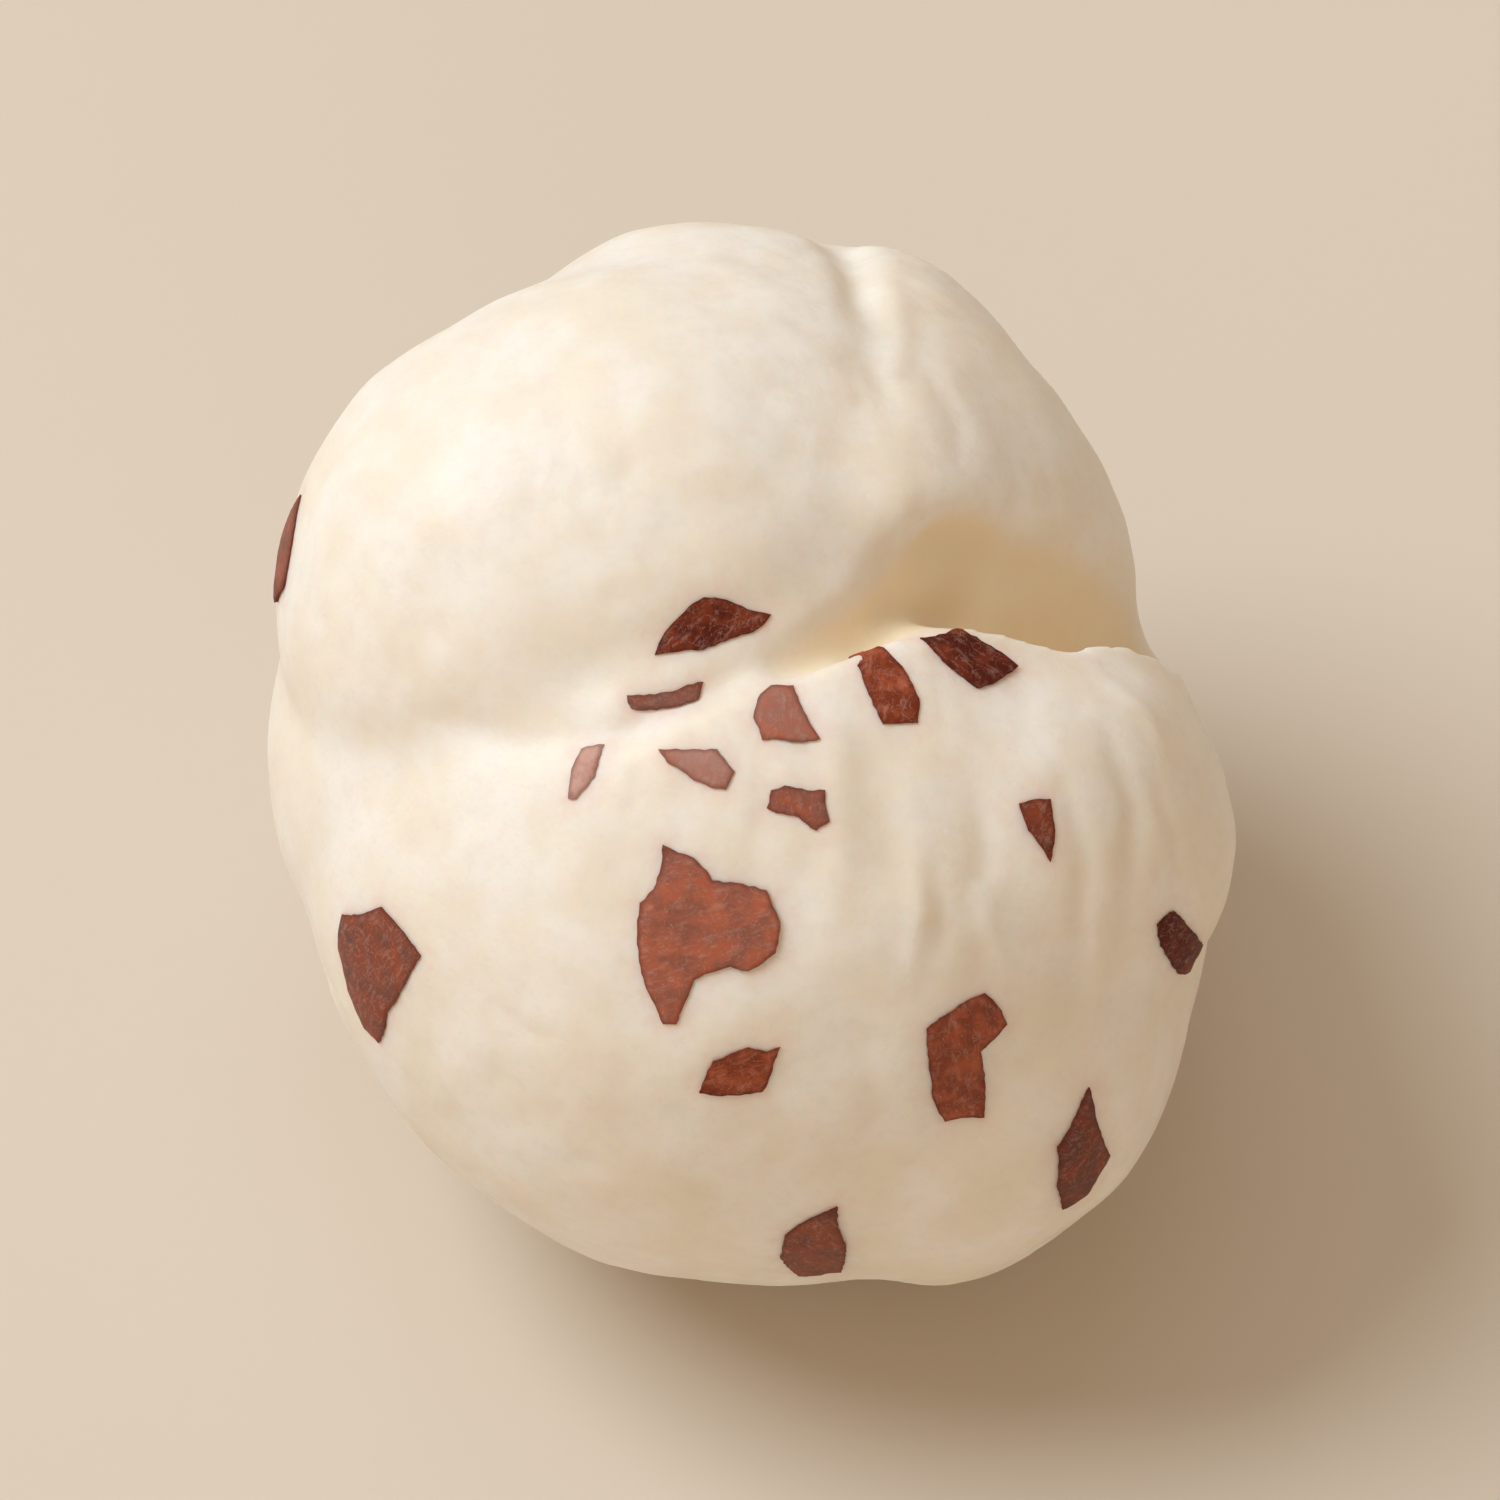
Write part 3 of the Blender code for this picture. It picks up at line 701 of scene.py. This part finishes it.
def lay_flake(bm, corners, origin, stance, dark, pale, draw):
    """Lay one flake on the skin, with its tones and edges noted for its material."""
    landed = corners_on_skin(corners, origin, stance)
    middle = sum(landed, Vector()) / len(landed)
    out = sum((skin.find_nearest(point)[1] for point in landed), Vector()).normalized()
    right = stance[1].cross(out).normalized()
    top = out.cross(right)
    outline = torn_outline([((point - middle).dot(right) / MM, (point - middle).dot(top) / MM)
                            for point in landed], draw)
    edges = [(i, (i + 1) % len(outline)) for i in range(len(outline))]
    spots, _, faces, _, _, _ = delaunay_2d_cdt(flake_points(outline), edges, [], 1, 1e-5)
    grain = Matrix.Rotation(draw.uniform(0, math.tau), 2)
    grain_origin = Vector((draw.uniform(-50, 50), draw.uniform(-50, 50)))
    lift_way = Vector((1, 0)) @ Matrix.Rotation(draw.uniform(0, math.tau), 2)
    lift = draw.choice(FLAKE_LIFTS)
    uv = bm.loops.layers.uv["flake"]
    layers = [bm.verts.layers.float[key] for key in ("dark", "pale", "inset")]
    made = []
    for spot in spots:
        level = middle + (right * spot.x + top * spot.y) * MM
        point, normal, _, _ = skin.find_nearest(level)
        inset = gap_to_edge(spot, outline)
        rise = min(1, inset / EDGE_ROUNDING)
        height = FLAKE_EDGE_HEIGHT + (FLAKE_HEIGHT - FLAKE_EDGE_HEIGHT) * rise
        height += lift * max(0, spot.dot(lift_way))
        vertex = bm.verts.new(point + normal * height)
        for layer, value in zip(layers, (dark, pale, min(1, inset / EDGE_TINT))):
            vertex[layer] = value
        made.append(vertex)
    for face_corners in faces:
        face = bm.faces.new([made[i] for i in face_corners])
        for loop, i in zip(face.loops, face_corners):
            loop[uv].uv = grain @ spots[i] + grain_origin


skin = skin_of(kernel)
nut_axes = Matrix.Translation(set_down) @ Matrix.Rotation(LEAN, 4, "X")
across_axis, up_axis, near_axis = nut_axes.to_3x3().transposed()
bm = bmesh.new()
bm.loops.layers.uv.new("flake")
for key in ("dark", "pale", "inset"):
    bm.verts.layers.float.new(key)
draw = random.Random(TEAR_SEED)
for (x, y), dark, pale, corners in FACE_FLAKES.values():
    start = nut_axes @ Vector((x * MM, y * MM, CLEAR_OF_NUT))
    point = skin.ray_cast(start, -near_axis)[0]
    lay_flake(bm, corners, point, (across_axis, up_axis, near_axis), dark, pale, draw)
for direction, corners in hidden_flakes():
    outward = nut_axes.to_3x3() @ direction
    point, normal, _, _ = skin.ray_cast(nut_axes.translation + outward * CLEAR_OF_NUT, -outward)
    right = up_axis.cross(normal).normalized()
    lay_flake(bm, corners, point, (right, normal.cross(right), normal),
              draw.uniform(0.2, 0.9), draw.choice((0, 0, 0.1, 0.2, 0.6)), draw)
coat_mesh = bpy.data.meshes.new("seed_coat_flakes")
bm.to_mesh(coat_mesh)
bm.free()
coat = bpy.data.objects.new("seed_coat_flakes", coat_mesh)
bpy.context.scene.collection.objects.link(coat)
finish_with(coat, "SOLIDIFY", thickness=FLAKE_ROOT, offset=-1)
coat.data.shade_smooth()
coat.data.set_sharp_from_angle(angle=math.radians(50))

coat_skin = skin_of(coat)
stains = []
for vertex in kernel.data.vertices:
    gap = coat_skin.find_nearest(vertex.co, STAIN_REACH)[3]
    stains.append(0 if gap is None else 1 - gap / STAIN_REACH)
note(kernel, "stain", stains)


def coat_finish():
    """Hard seed coat, from russet to maroon, scratched, finely cracked and darker at its edges."""
    material, tree, surface = new_material("seed_coat")
    spot = place_in_mm(tree)
    along = add_node(tree, "ShaderNodeUVMap", {}, uv_map="flake").outputs["UV"]
    mottle = noise(tree, spot, 1.8, 4, 0.6)
    stretched = add_node(tree, "ShaderNodeMapping", {"Vector": along, "Scale": (2.6, 6.5, 1.0)})
    scratches = noise(tree, stretched.outputs["Vector"], 1.0, 5, 0.7)
    tone = math_node(tree, "ADD", noted(tree, "dark"), eased(tree, mottle, 0.25, 0.75, -0.3, 0.3))
    colour = blend(tree, eased(tree, tone, 0.1, 0.55), RUSSET, MAHOGANY)
    colour = blend(tree, eased(tree, tone, 0.5, 1.0), colour, MAROON)
    bleached = math_node(tree, "MULTIPLY", noted(tree, "pale"),
                         eased(tree, mottle, 0.3, 0.6, 0.5, 1.3))
    colour = blend(tree, bleached, colour, BLEACHED_PINK)
    frets = add_node(tree, "ShaderNodeTexNoise", {
        "Vector": spot, "Scale": 2.4, "Detail": 3, "Distortion": 1.5}).outputs["Fac"]
    fret = eased(tree, math_node(tree, "ABSOLUTE", math_node(tree, "SUBTRACT", frets, 0.5), 0),
                 0.0, 0.018, 0.35, 0.0)
    scratch = eased(tree, scratches, 0.5, 0.68, 0.0, 0.32)
    colour = blend(tree, math_node(tree, "MAXIMUM", fret, scratch), colour, BLEACHED_PINK)
    edge = eased(tree, noted(tree, "inset"), 0.0, 0.35, 0.45, 0.0)
    colour = blend(tree, edge, colour, MAROON)
    relief = math_node(tree, "ADD", scratches, fret)
    bump = add_node(tree, "ShaderNodeBump", {"Height": relief, "Strength": 0.4,
                                             "Distance": 0.04 * MM})
    tree.links.new(colour, surface.inputs["Base Color"])
    tree.links.new(eased(tree, scratches, 0.3, 0.7, 0.34, 0.6), surface.inputs["Roughness"])
    tree.links.new(bump.outputs["Normal"], surface.inputs["Normal"])
    surface.inputs["Specular IOR Level"].default_value = 0.1
    return material


coat.data.materials.append(coat_finish())
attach(coat, "root")

# Table top and light
# The nut lies on a plain, pale, matt surface. A large soft lamp stands high on its left and
# behind it, a weaker one overhead and a faint warm one in front, and pale surroundings fill
# the shaded side.

FLOOR_SIZE = 6.0
FLOOR_COLOUR = (0.70, 0.62, 0.52, 1)
CAMERA_ELEVATION = math.radians(56)
CAMERA_DISTANCE = 0.40
FRAME_HEIGHT = 34 * MM
FILM_WIDTH = 36.0

bpy.ops.mesh.primitive_circle_add(vertices=128, radius=FLOOR_SIZE / 2, fill_type="NGON")
floor = bpy.context.object
floor.name = "floor"
material, tree, surface = new_material("floor")
surface.inputs["Base Color"].default_value = FLOOR_COLOUR
surface.inputs["Roughness"].default_value = 0.9
surface.inputs["Specular IOR Level"].default_value = 0.1
floor.data.materials.append(material)


def aim(obj, target):
    direction = Vector(target) - obj.location
    obj.rotation_euler = direction.to_track_quat("-Z", "Y").to_euler()


def soft_light(name, location, size, power, colour):
    bpy.ops.object.light_add(type="AREA", location=location)
    light = bpy.context.object
    light.name = name
    light.data.shape = "DISK"
    light.data.size = size
    light.data.energy = power
    light.data.color = colour
    aim(light, (0, 0, 0.01))


soft_light("key", (-0.38, 0.12, 0.50), 0.40, 3.1, (0.86, 0.93, 1.0))
soft_light("top", (-0.05, 0.20, 0.65), 0.50, 0.45, (0.84, 0.93, 1.0))
soft_light("fill", (0.02, -0.50, 0.20), 0.40, 0.26, (1.0, 0.86, 0.72))

world = bpy.data.worlds.new("pale_surroundings")
world.use_nodes = True
world.node_tree.nodes["Background"].inputs["Color"].default_value = (1.0, 0.79, 0.58, 1)
world.node_tree.nodes["Background"].inputs["Strength"].default_value = 0.44
bpy.context.scene.world = world

low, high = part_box("fox_nut")
middle = (low + high) / 2
bpy.ops.object.camera_add()
camera = bpy.context.object
camera.location = middle + CAMERA_DISTANCE * Vector(
    (0, -math.cos(CAMERA_ELEVATION), math.sin(CAMERA_ELEVATION)))
camera.data.sensor_width = FILM_WIDTH
camera.data.lens = FILM_WIDTH * CAMERA_DISTANCE / FRAME_HEIGHT
aim(camera, middle)
bpy.context.scene.camera = camera
bpy.context.scene.view_settings.view_transform = "Standard"
